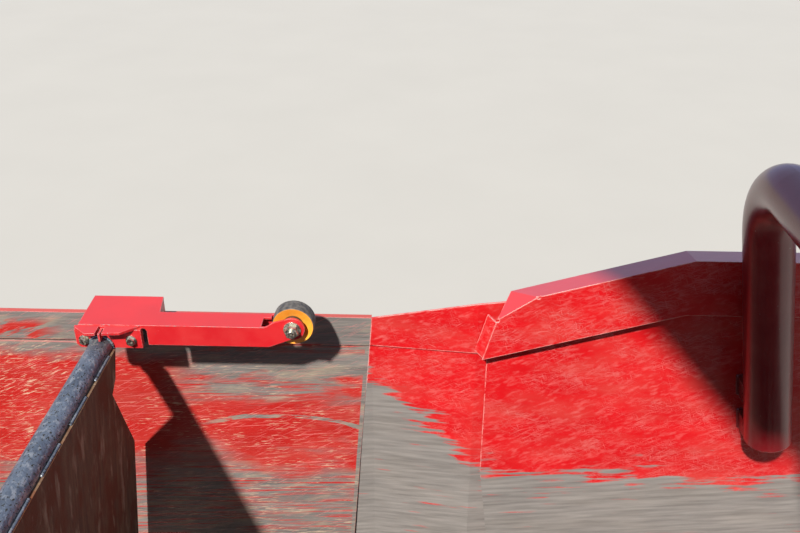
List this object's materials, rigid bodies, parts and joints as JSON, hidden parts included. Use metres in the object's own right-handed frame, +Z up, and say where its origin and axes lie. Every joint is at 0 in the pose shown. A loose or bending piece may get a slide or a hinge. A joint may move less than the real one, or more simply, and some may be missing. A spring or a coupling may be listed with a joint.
{
  "type": "bunker of a towed potato harvester",
  "caption": "Towed potato harvester bunker with slat floor, swinging roller-arm flap, lifting discharge section and lift cylinders.",
  "frame": {"origin": "centre of the four chassis bolts, at the underside of the feet", "axes": "+X along the bunker to its discharge end, +Y in the driving direction, +Z up"},
  "size_m": [3.241, 1.9, 1.9773],
  "materials": {
    "frame_paint": "satin red paint with dust",
    "worn_paint": "red paint rubbed through to bare grey steel in streaks",
    "bright_paint": "bright red paint with fine scratches",
    "gloss_paint": "glossy red paint",
    "hoop_paint": "glossy dark red paint",
    "slat_steel": "rubbed bare steel with soil",
    "shaft_steel": "dull turned steel",
    "motor_paint": "dark grey paint",
    "cast_housing": "grey cast iron",
    "soiled_tube": "steel tube coated with dried speckled soil",
    "rusty_sheet": "rusty sheet stained by soil in upright streaks",
    "zinc": "zinc plated",
    "roller_pu": "cast polyurethane, orange yellow",
    "barrel_paint": "black paint",
    "chrome_rod": "hard chrome"
  },
  "bodies": {
    "bunker": {"underframe": "frame_paint", "front_wall": "worn_paint", "rear_wall": "worn_paint", "front_extension": "bright_paint", "rear_extension": "bright_paint", "end_wall": "worn_paint", "front_posts": "frame_paint", "rear_posts": "frame_paint", "floor_skirts": "worn_paint", "floor_conveyor": "slat_steel", "floor_head_shaft": "shaft_steel", "floor_tail_shaft": "shaft_steel", "slide_rails": "frame_paint", "floor_motor": "motor_paint", "transfer_plate": "slat_steel", "flap_bearings": "cast_housing", "pivot_bearings": "cast_housing", "cylinder_feet": "frame_paint"},
    "flap": {"flap_tube": "soiled_tube", "flap_panel": "rusty_sheet", "front_arm": "gloss_paint", "rear_arm": "gloss_paint", "flap_brackets": "gloss_paint", "arm_bolts": "zinc"},
    "roller_front": {"front_roller": "roller_pu"},
    "roller_rear": {"rear_roller": "roller_pu"},
    "discharge": {"lift_front_wall": "bright_paint", "lift_rear_wall": "bright_paint", "lift_frame": "frame_paint", "lift_conveyor": "slat_steel", "lift_head_shaft": "shaft_steel", "lift_tail_shaft": "shaft_steel", "lift_motor": "motor_paint", "guard_hoop": "hoop_paint", "rod_brackets": "frame_paint"},
    "barrel_front": {"front_barrel": "barrel_paint"},
    "barrel_rear": {"rear_barrel": "barrel_paint"},
    "rod_front": {"front_rod": "chrome_rod"},
    "rod_rear": {"rear_rod": "chrome_rod"}
  },
  "joints": [
    {"name": "flap_swing", "type": "hinge", "parent": "bunker", "child": "flap", "pos_m": [-0.694, 0, 1.47], "axis": [0, -1, 0], "range_deg": [0, 30]},
    {"name": "front_roller_spin", "type": "hinge", "parent": "flap", "child": "roller_front", "pos_m": [-0.274, 0.7605, 1.517], "axis": [0, 1, 0], "continuous": true},
    {"name": "rear_roller_spin", "type": "hinge", "parent": "flap", "child": "roller_rear", "pos_m": [-0.274, -0.7605, 1.517], "axis": [0, 1, 0], "continuous": true},
    {"name": "discharge_lift", "type": "hinge", "parent": "bunker", "child": "discharge", "pos_m": [0.34, 0, 0.33], "axis": [0, -1, 0], "range_deg": [0, 22]},
    {"name": "front_barrel_tilt", "type": "hinge", "parent": "bunker", "child": "barrel_front", "pos_m": [0.482, 0.868, 0.11], "axis": [0, -1, 0], "range_deg": [0, 20.5]},
    {"name": "rear_barrel_tilt", "type": "hinge", "parent": "bunker", "child": "barrel_rear", "pos_m": [0.482, -0.868, 0.11], "axis": [0, -1, 0], "range_deg": [0, 20.5]},
    {"name": "front_rod_stroke", "type": "slide", "parent": "barrel_front", "child": "rod_front", "axis": [0.7957, 0, 0.6056], "range_m": [0, 0.1]},
    {"name": "rear_rod_stroke", "type": "slide", "parent": "barrel_rear", "child": "rod_rear", "axis": [0.7957, 0, 0.6056], "range_m": [0, 0.1]}
  ],
  "couplings": [
    {"joint": "front_barrel_tilt", "follows": "discharge_lift", "ratio": 0.922},
    {"joint": "rear_barrel_tilt", "follows": "discharge_lift", "ratio": 0.922},
    {"joint": "front_rod_stroke", "follows": "discharge_lift", "m_per_rad": 0.254},
    {"joint": "rear_rod_stroke", "follows": "discharge_lift", "m_per_rad": 0.254}
  ]
}
